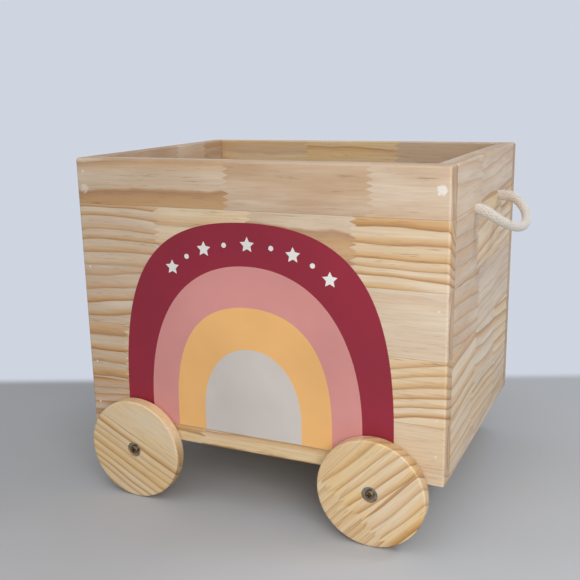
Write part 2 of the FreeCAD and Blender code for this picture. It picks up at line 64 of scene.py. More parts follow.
class Graph:
    """A node tree, with short ways to add the nodes that a formula needs."""

    def __init__(self, tree):
        self.tree = tree

    def node(self, kind, **settings):
        made = self.tree.nodes.new("ShaderNode" + kind)
        for name, value in settings.items():
            setattr(made, name, value)
        return made

    def feed(self, socket, value):
        """Links a socket to another, or sets its value."""
        if isinstance(value, bpy.types.NodeSocket):
            self.tree.links.new(value, socket)
        else:
            socket.default_value = value

    def math(self, operation, *values, clamp=False):
        made = self.node("Math", operation=operation, use_clamp=clamp)
        for socket, value in zip(made.inputs, values):
            self.feed(socket, value)
        return made.outputs[0]

    def add(self, *values):
        total = values[0]
        for value in values[1:]:
            total = self.math("ADD", total, value)
        return total

    def times(self, *values):
        product = values[0]
        for value in values[1:]:
            product = self.math("MULTIPLY", product, value)
        return product

    def less(self, first, second):
        return self.math("SUBTRACT", first, second)

    def distance(self, first, second):
        """The length of the line that goes that far along two axes."""
        squares = self.add(self.times(first, first), self.times(second, second))
        return self.math("SQRT", squares)

    def remap(self, value, low, high, out_low=0.0, out_high=1.0, smooth=False):
        kind = "SMOOTHSTEP" if smooth else "LINEAR"
        made = self.node("MapRange", interpolation_type=kind, clamp=True)
        self.feed(made.inputs["Value"], value)
        made.inputs["From Min"].default_value = low
        made.inputs["From Max"].default_value = high
        made.inputs["To Min"].default_value = out_low
        made.inputs["To Max"].default_value = out_high
        return made.outputs["Result"]

    def split(self, vector):
        made = self.node("SeparateXYZ")
        self.feed(made.inputs[0], vector)
        return made.outputs[0], made.outputs[1], made.outputs[2]

    def join(self, x, y, z):
        made = self.node("CombineXYZ")
        for socket, value in zip(made.inputs, (x, y, z)):
            self.feed(socket, value)
        return made.outputs[0]

    def noise(self, vector, scale=1.0, detail=2.0, roughness=0.5):
        """Smooth noise, about 0.5 on average."""
        made = self.node("TexNoise", noise_dimensions="3D")
        self.feed(made.inputs["Vector"], vector)
        made.inputs["Scale"].default_value = scale
        made.inputs["Detail"].default_value = detail
        made.inputs["Roughness"].default_value = roughness
        return made.outputs[0]

    def wobble(self, vector, size, scale=1.0, detail=2.0):
        """Smooth noise on either side of 0, over a range of about that size."""
        return self.times(self.less(self.noise(vector, scale, detail), 0.5), size)

    def dice(self, value):
        """A random number from 0 to 1 for each value."""
        made = self.node("TexWhiteNoise", noise_dimensions="1D")
        self.feed(made.inputs["W"], value)
        return made.outputs["Value"]

    def mix(self, share, first, second, blend="MIX"):
        """Two colours mixed."""
        made = self.node("Mix", data_type="RGBA", blend_type=blend)
        self.feed(made.inputs[0], share)
        for socket, value in ((made.inputs[6], first), (made.inputs[7], second)):
            self.feed(socket, value if isinstance(value, bpy.types.NodeSocket) else (*value, 1))
        return made.outputs[2]

    def curve(self, value, stops):
        """A number read off straight lines through (position, value) stops."""
        made = self.node("ValToRGB")
        self.feed(made.inputs[0], value)
        elements = made.color_ramp.elements
        elements.remove(elements[1])
        elements[0].position = stops[0][0]
        elements[0].color = (stops[0][1],) * 3 + (1,)
        for position, level in stops[1:]:
            elements.new(position).color = (level,) * 3 + (1,)
        return made.outputs[0]


def rgb(red, green, blue):
    """A colour as scene-linear numbers from its 0 to 255 screen numbers."""
    channels = []
    for value in (red, green, blue):
        share = value / 255
        low = share <= 0.04045
        channels.append(share / 12.92 if low else ((share + 0.055) / 1.055) ** 2.4)
    return tuple(channels)


def new_material(name):
    """A material with its graph, its surface shader and the object's own coordinates."""
    material = bpy.data.materials.new(name)
    material.use_nodes = True
    graph = Graph(material.node_tree)
    shader = material.node_tree.nodes["Principled BSDF"]
    place = graph.node("TexCoord")
    return material, graph, shader, place


def add_bump(graph, shader, height, distance, strength=1.0):
    bump = graph.node("Bump")
    bump.inputs["Strength"].default_value = strength
    bump.inputs["Distance"].default_value = distance
    graph.feed(bump.inputs["Height"], height)
    graph.feed(shader.inputs["Normal"], bump.outputs[0])


# ------------------------------------------------------------------------------------------ pine

# Earlywood, latewood, the colours that age and resin give a stave, seams and end grain.
EARLY = rgb(222, 200, 172)
HONEY = rgb(240, 208, 150)
TAN = rgb(184, 148, 116)
PALE = rgb(234, 219, 197)
AMBER = rgb(208, 154, 84)
LATE = rgb(148, 96, 48)
SEAM = rgb(112, 80, 52)
END_GRAIN = rgb(196, 176, 154)

# The teeth of the finger joints, and half the width of the dark line at a glue seam.
FINGER_PITCH = 6 * MM
FINGER_LENGTH = 7.5 * MM
SEAM_HALF = 0.22 * MM

# Half the length of the staves in each kind of board, in millimetres.
WALL_REACH = 200
END_REACH = 132
FLOOR_REACH = 182
WHEEL_REACH = 60

# The largest heart distance, lean and ring spacing that a stave may have.
PITH_REACH = 150 * MM
LEAN_REACH = 0.3
RING_REACH = 16 * MM

# One stave of a row. end is where it stops along the board; across and behind place its tree's
# heart from the row's middle and from the board's middle, in millimetres; lean is how its rings
# slope along it; ring is their spacing in millimetres. tone goes from -1, honey, through 0, pale,
# to 1, tan, and mark is how strongly the rings show.
Stave = namedtuple("Stave", "end across behind lean ring tone mark")

# The height of each row's lower edge above the floor, from the bottom row up, in millimetres.
WALL_SEAMS = (67.5, 86, 127, 191, 255, 320)

FRONT_ROWS = (
    (
        Stave(-60, 20, 30, 0.02, 9, -0.7, 0.9),
        Stave(90, -9, 17, 0.01, 8, -0.7, 1.0),
        Stave(200, 60, 20, 0.0, 8, -0.1, 0.3),
    ),
    (
        Stave(-120, -60, 25, -0.05, 8, 0.5, 1.0),
        Stave(80, 30, 40, 0.0, 8, -0.4, 0.6),
        Stave(200, 6, 95, 0.03, 9, -0.2, 0.3),
    ),
    (
        Stave(-150, 60, 40, -0.04, 12, 0.25, 1.0),
        Stave(30, -70, 30, 0.0, 9, -0.2, 0.7),
        Stave(200, 46, 26, -0.14, 9.5, -0.4, 1.0),
    ),
    (
        Stave(-40, 80, 30, -0.08, 12, 0.3, 1.0),
        Stave(70, -30, 30, 0.0, 9, 0.0, 0.7),
        Stave(200, 2, 60, 0.05, 13, 0.05, 0.35),
    ),
    (
        Stave(-103.8, 110, 20, -0.02, 12, 0.1, 1.0),
        Stave(1.2, 80, 60, 0.02, 14, -0.4, 0.5),
        Stave(108, 8, 60, 0.06, 12, 0.2, 0.7),
        Stave(200, 42, 22, 0.03, 8.5, -0.3, 1.0),
    ),
    (
        Stave(-22.7, -30, 60, -0.05, 14, 0.25, 0.8),
        Stave(124.6, 3, 110, 0.03, 12, 0.6, 0.25),
        Stave(200, 14, 100, 0.03, 12, 0.35, 0.3),
    ),
)

# The top rows that show inside the box, over the others.
BACK_TOP_ROW = (
    Stave(-60, 10, 60, 0.02, 10, -0.9, 0.4),
    Stave(60, -12, 22, 0.03, 9, -0.9, 1.0),
    Stave(200, 5, 80, 0.0, 12, 0.3, 0.6),
)
LEFT_TOP_ROW = (
    Stave(20, 40, 60, 0.0, 11, 0.8, 0.6),
    Stave(85, 20, 90, 0.02, 12, 0.5, 0.5),
    Stave(132, 30, 70, 0.0, 11, 1.0, 0.6),
)


def random_rows(seed, half_length, count):
    """Rows of finger-jointed staves with nothing in common but their widths."""
    dice = random.Random(seed)
    rows = []
    for _ in range(count):
        row = []
        end = -half_length + dice.uniform(40, 130)
        while True:
            last = end > half_length - 45
            row.append(
                Stave(
                    half_length if last else end,
                    dice.choice((-1, 1)) * dice.uniform(5, 90),
                    dice.choice((-1, 1)) * dice.uniform(16, 70),
                    dice.uniform(-0.08, 0.08),
                    dice.uniform(7.5, 14),
                    dice.uniform(-0.6, 0.6),
                    dice.uniform(0.3, 1.0),
                )
            )
            if last:
                break
            end += dice.uniform(90, 150)
        rows.append(tuple(row))
    return tuple(rows)


def constant_ramp(graph, place, half_length, staves, colour_of):
    """A colour that is constant along each stave of a row."""
    made = graph.node("ValToRGB")
    made.color_ramp.interpolation = "CONSTANT"
    graph.feed(made.inputs[0], place)
    elements = made.color_ramp.elements
    elements.remove(elements[1])
    elements[0].position = 0
    elements[0].color = colour_of(staves[0])
    for before, stave in zip(staves, staves[1:]):
        elements.new((before.end + half_length) / (2 * half_length)).color = colour_of(stave)
    return made.outputs[0]


def signed(value, reach):
    """Packs a number between -reach and reach into 0 to 1."""
    return 0.5 + 0.5 * value / reach


def heart_colour(stave):
    return (
        signed(stave.across * MM, PITH_REACH),
        signed(stave.behind * MM, PITH_REACH),
        signed(stave.lean, LEAN_REACH),
        1,
    )


def look_colour(stave):
    return (signed(stave.tone, 1), stave.mark, stave.ring * MM / RING_REACH, 1)


def unpack(graph, share, reach):
    return graph.times(graph.less(share, 0.5), 2 * reach)


def pick_staves(graph, along, across, half_length, seams, rows):
    """What the stave at a point looks like: its heart, its look, its row's middle and its seams."""
    zigzag = graph.math("PINGPONG", across, FINGER_PITCH / 2)
    shifted = graph.add(along, graph.times(zigzag, 2 * FINGER_LENGTH / FINGER_PITCH))
    place = graph.remap(
        shifted, -half_length * MM + FINGER_LENGTH / 2, half_length * MM + FINGER_LENGTH / 2
    )
    heart = look = middle = None
    seam = 0.0
    tops = seams[1:] + (2 * seams[-1] - seams[-2],)
    for bottom, top, staves in zip(seams, tops, rows):
        row_heart = constant_ramp(graph, place, half_length, staves, heart_colour)
        row_look = constant_ramp(graph, place, half_length, staves, look_colour)
        row_middle = (bottom + top) / 2 * MM
        if heart is None:
            heart, look, middle = row_heart, row_look, row_middle
            continue
        above = graph.math("GREATER_THAN", across, bottom * MM)
        heart = graph.mix(above, heart, row_heart)
        look = graph.mix(above, look, row_look)
        middle = graph.add(
            graph.times(above, row_middle), graph.times(graph.less(1.0, above), middle)
        )
        line = graph.math("COMPARE", across, bottom * MM, SEAM_HALF)
        seam = graph.math("MAXIMUM", seam, line)
    return heart, look, middle, seam


# How many times a metre each pattern in the wood changes, along its fibres and across them.
BEND_SCALES = (7, 16)
RIPPLE_SCALES = (34, 70)
FIBRE_SCALES = (22, 520)
DASH_SCALES = (48, 950)
PATCH_SCALES = (9, 40)
YEAR_SCALE = 70

# How far the rings wander in slow bends and in ripples, and how uneven the years are.
BEND_SIZE = 17 * MM
RIPPLE_SIZE = 1.3 * MM
YEAR_SIZE = 9 * MM

# How dark and how amber a year's wood is, from its first growth, at 0, to its last, at 1.
DARK_YEAR = ((0, 0.2), (0.04, 0), (0.76, 0), (0.89, 0.5), (0.96, 1), (1, 0.4))
AMBER_YEAR = ((0, 0.2), (0.06, 0), (0.42, 0.04), (0.68, 0.7), (0.84, 1), (1, 0.5))

# The weakest year's share of the strongest, and how strongly rings show on end grain.
POOR_YEAR = 0.45
END_GRAIN_MARK = 0.8

# How far apart the seeds move one board's pattern from the next.
SEED_STEP = 19.0


def add_pine_sockets(group):
    """What the pine group is told about a point, and what it gives back."""
    face = group.interface
    for name in ("Along", "Across", "Behind", "Heart across", "Heart behind", "Lean"):
        face.new_socket(name, in_out="INPUT", socket_type="NodeSocketFloat")
    for name in ("Tone", "Mark", "Ring", "Seed", "End grain", "Seam"):
        face.new_socket(name, in_out="INPUT", socket_type="NodeSocketFloat")
    face.new_socket("Color", in_out="OUTPUT", socket_type="NodeSocketColor")
    for name in ("Roughness", "Height"):
        face.new_socket(name, in_out="OUTPUT", socket_type="NodeSocketFloat")


def along_fibres(graph, place, seed, scales):
    """Coordinates for noise that is drawn out along the fibres."""
    along, across, behind = place
    return graph.join(
        graph.add(graph.times(along, scales[0]), seed),
        graph.times(across, scales[1]),
        graph.times(behind, scales[1]),
    )


def growth_rings(graph, given, place, seed):
    """How dark and how amber the rings make a point, by its distance from the heart line."""
    along, across, behind = place
    bend = graph.wobble(along_fibres(graph, place, seed, BEND_SCALES), BEND_SIZE)
    ripple = graph.wobble(along_fibres(graph, place, seed, RIPPLE_SCALES), RIPPLE_SIZE)
    sideways = graph.add(
        graph.less(across, given["Heart across"]), graph.times(along, given["Lean"]), bend
    )
    inward = graph.add(graph.less(behind, given["Heart behind"]), ripple)
    radius = graph.distance(sideways, inward)
    year_place = graph.join(graph.times(radius, YEAR_SCALE), seed, 0.0)
    uneven = graph.wobble(year_place, YEAR_SIZE, detail=1.0)
    count = graph.math("DIVIDE", graph.add(radius, uneven), given["Ring"])
    share = graph.math("FRACT", count)
    year = graph.math("FLOOR", count)
    good_year = graph.remap(graph.dice(graph.add(year, seed)), 0, 1, POOR_YEAR, 1.0)
    on_end = graph.times(given["End grain"], END_GRAIN_MARK)
    shown = graph.math("MAXIMUM", given["Mark"], on_end)
    late = graph.times(graph.curve(share, DARK_YEAR), good_year, shown)
    amber = graph.times(graph.curve(share, AMBER_YEAR), good_year, shown)
    return late, amber


def wood_colour(graph, given, late, amber, fibre, dash, patch):
    """The stave's own tone, then its streaks, rings, dashes, end grain and seams over it."""
    base = graph.mix(graph.remap(given["Tone"], 0, 1), EARLY, TAN)
    base = graph.mix(graph.remap(given["Tone"], 0, -1), base, HONEY)
    base = graph.mix(graph.remap(patch, 0.42, 0.66, 0.0, 0.55), base, PALE)
    streaked = graph.mix(graph.remap(fibre, 0.4, 0.72, 0.0, 0.32), base, TAN)
    warmed = graph.mix(graph.times(amber, 0.92), streaked, AMBER)
    ringed = graph.mix(graph.times(late, 0.85), warmed, LATE)
    dashed = graph.mix(graph.times(dash, graph.remap(patch, 0.6, 0.4, 0.1, 0.45)), ringed, SEAM)
    end_tint = graph.mix(graph.times(given["End grain"], 0.5), dashed, END_GRAIN, "MULTIPLY")
    return graph.mix(graph.times(given["Seam"], 0.4), end_tint, SEAM)


def make_pine_group():
    """The wood itself: growth rings about a heart line, fibres along it, and end grain."""
    group = bpy.data.node_groups.new("pine", "ShaderNodeTree")
    add_pine_sockets(group)
    graph = Graph(group)
    given = group.nodes.new("NodeGroupInput").outputs
    result = group.nodes.new("NodeGroupOutput").inputs
    place = (given["Along"], given["Across"], given["Behind"])
    seed = graph.times(given["Seed"], SEED_STEP)
    late, amber = growth_rings(graph, given, place, seed)

    # Long fine streaks, short dark resin dashes among them, and paler patches.
    fibre_place = along_fibres(graph, place, seed, FIBRE_SCALES)
    fibre = graph.noise(fibre_place, detail=3.0, roughness=0.6)
    dash_place = along_fibres(graph, place, seed, DASH_SCALES)
    dash = graph.remap(graph.noise(dash_place, detail=2.0), 0.62, 0.72)
    patch = graph.noise(along_fibres(graph, place, seed, PATCH_SCALES), detail=3.0)

    colour = wood_colour(graph, given, late, amber, fibre, dash, patch)
    graph.feed(result["Color"], colour)
    graph.feed(
        result["Roughness"],
        graph.add(0.40, graph.times(fibre, 0.14), graph.times(given["End grain"], 0.15)),
    )
    height = graph.less(
        graph.add(graph.times(fibre, 0.45), graph.times(late, 0.35)),
        graph.add(graph.times(dash, 0.5), graph.times(given["Seam"], 0.8)),
    )
    graph.feed(result["Height"], height)
    return group


PINE = make_pine_group()


def finish_pine(graph, shader, facts, facing):
    """Feeds the pine group and joins it to the surface shader. facing is 1 on end grain."""
    pine = graph.node("Group", node_tree=PINE)
    for name, value in facts.items():
        graph.feed(pine.inputs[name], value)
    end_grain = graph.remap(graph.math("ABSOLUTE", facing), 0.55, 0.95, smooth=True)
    graph.feed(pine.inputs["End grain"], end_grain)
    graph.feed(shader.inputs["Base Color"], pine.outputs["Color"])
    graph.feed(shader.inputs["Roughness"], pine.outputs["Roughness"])
    shader.inputs["Coat Weight"].default_value = 0.12
    shader.inputs["Coat Roughness"].default_value = 0.35
    add_bump(graph, shader, pine.outputs["Height"], 0.12 * MM, 0.8)


def stave_facts(graph, along, across, behind, half_length, seams, rows, seed):
    """Everything that the pine group needs to know about a point on a board of glued staves."""
    heart, look, middle, seam = pick_staves(graph, along, across, half_length, seams, rows)
    heart_across, heart_behind, lean = graph.split(heart)
    tone, mark, ring = graph.split(look)
    return {
        "Along": along,
        "Across": graph.less(across, middle),
        "Behind": behind,
        "Heart across": unpack(graph, heart_across, PITH_REACH),
        "Heart behind": unpack(graph, heart_behind, PITH_REACH),
        "Lean": unpack(graph, lean, LEAN_REACH),
        "Tone": unpack(graph, tone, 1),
        "Mark": mark,
        "Ring": graph.times(ring, RING_REACH),
        "Seed": graph.add(seed, graph.times(heart_across, 5.0), graph.times(tone, 3.0)),
        "Seam": seam,
    }


def glued_pine(name, axes, centre, half_length, seams, rows, seed):
    """A board of glued staves. axes are the frame's axes along, across and through the board."""
    material, graph, shader, place = new_material(name)
    coordinates = graph.split(place.outputs["Object"])
    along, across, behind = (coordinates[axis] for axis in axes)
    behind = graph.less(behind, centre)
    facts = stave_facts(graph, along, across, behind, half_length, seams, rows, seed)
    finish_pine(graph, shader, facts, graph.split(place.outputs["Normal"])[axes[0]])
    return material


def wheel_pine(name, centre, turn, seams, rows, seed):
    """A disc cut from glued staves that run at an angle to the level."""
    material, graph, shader, place = new_material(name)
    x, y, z = graph.split(place.outputs["Object"])
    x = graph.less(x, centre[0])
    z = graph.less(z, centre[2])
    cosine, sine = math.cos(turn), math.sin(turn)
    along = graph.add(graph.times(x, cosine), graph.times(z, sine))
    across = graph.less(graph.times(z, cosine), graph.times(x, sine))
    behind = graph.less(y, centre[1])
    facts = stave_facts(graph, along, across, behind, WHEEL_REACH, seams, rows, seed)
    normal = graph.split(place.outputs["Normal"])
    facing = graph.add(graph.times(normal[0], cosine), graph.times(normal[2], sine))
    finish_pine(graph, shader, facts, facing)
    return material


def plain_pine(name, axes, centre, heart, ring, tone, mark, seed):
    """One length of solid pine. centre is a point on its own axis."""
    material, graph, shader, place = new_material(name)
    coordinates = graph.split(place.outputs["Object"])
    along, across, behind = (graph.less(coordinates[axis], centre[axis]) for axis in axes)
    facts = {
        "Along": along,
        "Across": across,
        "Behind": behind,
        "Heart across": heart[0] * MM,
        "Heart behind": heart[1] * MM,
        "Lean": 0.02,
        "Tone": tone,
        "Mark": mark,
        "Ring": ring * MM,
        "Seed": seed,
        "Seam": 0.0,
    }
    finish_pine(graph, shader, facts, graph.split(place.outputs["Normal"])[axes[0]])
    return material


# A smear of putty is solid up to the first distance from its screw and gone by the second, and
# its edge wanders over a range of the third.
PUTTY_SOLID = 3.2 * MM
PUTTY_GONE = 5.2 * MM
PUTTY_RAGGED = 9 * MM
PUTTY_DULL = rgb(226, 212, 192)
PUTTY_WHITE = rgb(250, 246, 240)


def smear_putty(material, spots):
    """Rubs wood filler round each (x, z, strength), an uneven patch sanded level with the wood."""
    graph = Graph(material.node_tree)
    shader = material.node_tree.nodes["Principled BSDF"]
    place = graph.node("TexCoord").outputs["Object"]
    x, _, z = graph.split(place)
    ragged = graph.wobble(place, PUTTY_RAGGED, scale=330.0, detail=3.0)
    chalk = graph.mix(graph.noise(place, scale=700.0, detail=3.0), PUTTY_DULL, PUTTY_WHITE)
    colour = shader.inputs["Base Color"].links[0].from_socket
    for spot_x, spot_z, strength in spots:
        reach = graph.distance(graph.less(x, spot_x), graph.less(z, spot_z))
        edge = graph.add(reach, ragged)
        share = graph.remap(edge, PUTTY_GONE, PUTTY_SOLID, 0.0, strength, smooth=True)
        colour = graph.mix(share, colour, chalk)
    graph.feed(shader.inputs["Base Color"], colour)


# ------------------------------------------------------------------------------- other materials


def paint(name, colour):
    """Matt paint with a faint roller texture and slow changes of shade."""
    material, graph, shader, place = new_material(name)
    cloud = graph.noise(place.outputs["Object"], scale=9.0, detail=3.0)
    grain = graph.noise(place.outputs["Object"], scale=900.0, detail=2.0)
    darker = tuple(channel * 0.9 for channel in colour)
    lighter = tuple(min(1.0, channel * 1.06) for channel in colour)
    graph.feed(
        shader.inputs["Base Color"], graph.mix(graph.remap(cloud, 0.35, 0.65), darker, lighter)
    )
    graph.feed(shader.inputs["Roughness"], graph.remap(grain, 0.3, 0.7, 0.5, 0.62))
    add_bump(graph, shader, grain, 0.05 * MM, 0.5)
    return material


def plated_steel(name, colour, scratch_scale, roughness):
    """Plated steel with fine turning marks and dull spots."""
    material, graph, shader, place = new_material(name)
    spots = graph.noise(place.outputs["Object"], scale=350.0, detail=3.0)
    marks = graph.noise(place.outputs["Object"], scratch_scale, detail=2.0)
    dull = tuple(channel * 0.62 for channel in colour)
    graph.feed(shader.inputs["Base Color"], graph.mix(graph.remap(spots, 0.4, 0.7), colour, dull))
    wear = graph.add(spots, graph.times(marks, 0.5))
    dulled = graph.remap(wear, 0.4, 1.1, roughness, roughness + 0.25)
    graph.feed(shader.inputs["Roughness"], dulled)
    shader.inputs["Metallic"].default_value = 1.0
    add_bump(graph, shader, marks, 0.03 * MM, 0.6)
    return material


def filler(name):
    """Sanded wood filler, a little chalky."""
    material, graph, shader, place = new_material(name)
    cloud = graph.noise(place.outputs["Object"], scale=600.0, detail=4.0)
    graph.feed(
        shader.inputs["Base Color"],
        graph.mix(graph.remap(cloud, 0.3, 0.7), rgb(216, 196, 168), rgb(245, 238, 224)),
    )
    shader.inputs["Roughness"].default_value = 0.8
    add_bump(graph, shader, cloud, 0.15 * MM)
    return material


def cotton(name):
    """Undyed cotton yarn: soft, matt, with fine fibres, a few darker flecks and painted shade in
    the braid's grooves.
    """
    material, graph, shader, place = new_material(name)
    yarn = graph.noise(place.outputs["Object"], scale=1500.0, detail=3.0, roughness=0.6)
    flecks = graph.noise(place.outputs["Object"], scale=420.0, detail=1.0)
    fleck = graph.remap(flecks, 0.62, 0.72)
    groove = graph.node("Attribute", attribute_name="groove").outputs["Fac"]
    soft = graph.mix(graph.remap(yarn, 0.3, 0.7), rgb(192, 182, 168), rgb(228, 221, 211))
    # Painted shade: the grooves between the strands get a darker colour that stands in for the
    # shade falling in them.
    painted_groove_shade = graph.remap(groove, 0.35, 1.0, 0.0, 0.75)
    shaded = graph.mix(painted_groove_shade, soft, rgb(150, 134, 114))
    flecked = graph.mix(graph.times(fleck, 0.3), shaded, rgb(150, 132, 110))
    graph.feed(shader.inputs["Base Color"], flecked)
    shader.inputs["Roughness"].default_value = 0.92
    shader.inputs["Sheen Weight"].default_value = 0.35
    shader.inputs["Sheen Roughness"].default_value = 0.5
    add_bump(graph, shader, yarn, 0.25 * MM, 0.8)
    return material


# -------------------------------------------------------------------------------- painting nodes


def dress(node, material):
    """Gives a CAD node one material."""
    slots = NODES[node].data.materials
    slots.clear()
    slots.append(material)


# Where a screw is sunk under filler in the front and back walls: its x, its height, and how
# white the filler has stayed.
FILLED_SCREWS = ((-0.191, 0.336, 0.5), (0.191, 0.346, 0.95))


# How far the middle of each kind of board lies from the box's own middle, or from the ground.
WALL_MIDDLE = 0.141
END_MIDDLE = 0.191
FLOOR_MIDDLE = 0.075

# The lower edge of each row of staves in the floor, across the box, in millimetres.
FLOOR_SEAMS = (-132, -70, -6, 58)


def wall_pine(name, side, rows, seed):
    """The front wall's wood, at side -1, or the back wall's, at side 1."""
    axes = (0, 2, 1)
    middle = side * WALL_MIDDLE
    material = glued_pine(name, axes, middle, WALL_REACH, WALL_SEAMS, rows, seed)
    smear_putty(material, FILLED_SCREWS)
    return material


def end_pine(name, side, rows, seed):
    """The wood of the left end, at side -1, or of the right end, at side 1."""
    return glued_pine(name, (1, 2, 0), side * END_MIDDLE, END_REACH, WALL_SEAMS, rows, seed)


def dress_boards():
    lower = len(WALL_SEAMS) - 1
    front = wall_pine("front_pine", -1, FRONT_ROWS, 1.0)
    back_rows = random_rows(11, WALL_REACH, lower) + (BACK_TOP_ROW,)
    dress("front_panel", front)
    dress("corner_fillers", front)
    dress("back_panel", wall_pine("back_pine", 1, back_rows, 2.0))
    left_rows = random_rows(23, END_REACH, lower) + (LEFT_TOP_ROW,)
    dress("left_end_panel", end_pine("left_end_panel_pine", -1, left_rows, 3.0))
    right_rows = random_rows(24, END_REACH, lower) + random_rows(24, END_REACH, 1)
    dress("right_end_panel", end_pine("right_end_panel_pine", 1, right_rows, 4.0))
    rows = random_rows(31, FLOOR_REACH, len(FLOOR_SEAMS))
    floor = glued_pine("floor_pine", (0, 1, 2), FLOOR_MIDDLE, FLOOR_REACH, FLOOR_SEAMS, rows, 5.0)
    dress("floor_panel", floor)


def dress_battens():
    for seed, node in enumerate(("left_batten", "right_batten"), 6):
        low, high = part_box(node)
        middle = (low + high) / 2
        material = plain_pine(node + "_pine", (1, 0, 2), middle, (9, 34), 6, 0.4, 0.8, float(seed))
        dress(node, material)


Wheel = namedtuple("Wheel", "node turn seams rows")

# Staves of each wheel, with the seams measured from the hub across the grain.
WHEELS = (
    Wheel(
        "front_left_wheel",
        math.radians(-27),
        (-60, 15),
        (
            (Stave(60, 95, 20, 0.0, 8, -0.8, 0.9),),
            (Stave(60, -4, 90, 0.0, 12, -0.8, 0.12),),
        ),
    ),
    Wheel(
        "front_right_wheel",
        math.radians(48),
        (-60, -14, 42),
        (
            (Stave(-26, 60, 25, 0.0, 9, -0.6, 0.7), Stave(60, 75, 25, 0.05, 12, -0.9, 1.0)),
            (Stave(-28, -75, 20, 0.0, 9, -0.6, 0.5), Stave(60, 50, 28, 0.08, 9, -0.9, 0.9)),
            (Stave(60, -20, 35, 0.0, 9, -0.6, 0.5),),
        ),
    ),
    Wheel(
        "rear_left_wheel",
        math.radians(20),
        (-60, 5),
        (
            (Stave(60, 40, 25, 0.02, 9, -0.5, 0.9),),
            (Stave(5, -30, 30, 0.0, 9, -0.2, 0.7), Stave(60, 20, 50, 0.0, 10, -0.3, 0.6)),
        ),
    ),
    Wheel(
        "rear_right_wheel",
        math.radians(-60),
        (-60, -10),
        (
            (Stave(60, 70, 25, 0.0, 9, -0.4, 0.9),),
            (Stave(60, 15, 40, 0.03, 9, -0.2, 0.8),),
        ),
    ),
)


def dress_wheels():
    for seed, wheel in enumerate(WHEELS, 9):
        low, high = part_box(wheel.node)
        middle = (low + high) / 2
        material = wheel_pine(
            wheel.node + "_pine", middle, wheel.turn, wheel.seams, wheel.rows, float(seed)
        )
        dress(wheel.node, material)


def dress_fittings():
    washer = plated_steel("zinc_plate", rgb(176, 174, 168), 1800.0, 0.28)
    screw = plated_steel("yellow_plate", rgb(150, 128, 96), 2500.0, 0.3)
    bright = plated_steel("wire_steel", rgb(200, 192, 176), 2500.0, 0.35)
    for wheel in WHEELS:
        dress(wheel.node + "_washer", washer)
        dress(wheel.node + "_spacer", washer)
        dress(wheel.node + "_screw", screw)
    dress("corner_brads", bright)
    dress("corner_screws", screw)
    dress("batten_screws", screw)
    dress("brad_fillers", filler("wood_filler"))


def dress_rainbow():
    colours = {
        "burgundy_band": rgb(150, 32, 54),
        "pink_band": rgb(218, 148, 142),
        "mustard_band": rgb(242, 186, 116),
        "grey_arch": rgb(210, 202, 194),
        "white_stars": rgb(240, 238, 232),
    }
    for node, colour in colours.items():
        dress(node, paint(node + "_paint", colour))


# ------------------------------------------------------------------------------------------ rope

ROPE_DIAMETER = 10 * MM
ROPE_LEVEL = 0.318
ROPE_ENDS = (-0.054, 0.054)
WALL_INSIDE = 0.182

# The braid: its strands each way round, how far along the rope a strand runs while it turns by
# its own width, and the shares of the rope's radius at the foot of its grooves and that its
# strands stand out over them.
STRANDS = 10
STRAND_RISE = 6.5 * MM
GROOVE_RADIUS = 0.91
STRAND_HEIGHT = 0.1

# The radius's factor along the loop: its least, how much more it has at the swelling beside each
# hole, and that swelling's place and half width as shares of the loop's length.
PULLED_THIN = 0.95
SWELLING = 0.17
SWELLING_PLACE = 0.07

# The knot: how far its middle stands inside the wall, the steps along its line, how far the line
# weaves to and fro and drifts sideways, and the scale of its turns along and up.
KNOT_SETBACK = 13 * MM
KNOT_STEPS = 15
KNOT_WEAVE = 4.4 * MM
KNOT_DRIFT = 9 * MM
KNOT_ALONG = 2.6 * MM
KNOT_UP = 3.0 * MM

# Where the rope passes through the wall, and the tail's points from the middle of the knot.
THROUGH_WALL = (0.1995, 0.190)
KNOT_TAIL = ((-0.016, 0.005, -0.001), (-0.026, 0.005, -0.004))

# The loop's route for the right-hand rope, from the front hole to the rear one.
LOOP_ROUTE = (
    (0.1985, -0.054, 0.318),
    (0.2054, -0.054, 0.318),
    (0.219, -0.050, 0.3085),
    (0.2335, -0.030, 0.2965),
    (0.240, 0.0, 0.2955),
    (0.234, 0.030, 0.306),
    (0.2185, 0.049, 0.317),
    (0.2054, 0.054, 0.318),
    (0.1985, 0.054, 0.318),
)


def smooth_line(name, points):
    """Points read from a NURBS line through the route, close together."""
    curve = bpy.data.curves.new(name + "_line", "CURVE")
    curve.dimensions = "3D"
    curve.resolution_u = 24
    spline = curve.splines.new("NURBS")
    spline.points.add(len(points) - 1)
    for point, place in zip(spline.points, points):
        point.co = (*place, 1)
    spline.order_u = 3
    spline.use_endpoint_u = True
    holder = bpy.data.objects.new(name + "_line", curve)
    mesh = bpy.data.meshes.new_from_object(holder)
    line = [vertex.co.copy() for vertex in mesh.vertices]
    bpy.data.objects.remove(holder)
    bpy.data.meshes.remove(mesh)
    return line


def evenly(line, step):
    """The same line with its points a step apart."""
    lengths = [0.0]
    for before, after in zip(line, line[1:]):
        lengths.append(lengths[-1] + (after - before).length)
    count = max(2, round(lengths[-1] / step))
    spaced = []
    index = 0
    for number in range(count + 1):
        target = lengths[-1] * number / count
        while index < len(lengths) - 2 and lengths[index + 1] < target:
            index += 1
        run = max(lengths[index + 1] - lengths[index], 1e-9)
        spaced.append(line[index].lerp(line[index + 1], (target - lengths[index]) / run))
    return spaced


def braid_relief(turn, distance):
    """How far the braid stands out, from 0 to 1, at an angle round the rope and along it."""
    rise = distance / STRAND_RISE
    first = turn * STRANDS / math.tau + rise
    second = turn * STRANDS / math.tau - rise
    over = (math.floor(first) + math.floor(second)) % 2 == 0
    across = (second if over else first) % 1
    along = (first if over else second) % 1
    crown = math.sqrt(max(0.0, 1 - (2 * across - 1) ** 2))
    return crown * (0.55 + 0.45 * math.sin(math.pi * along))


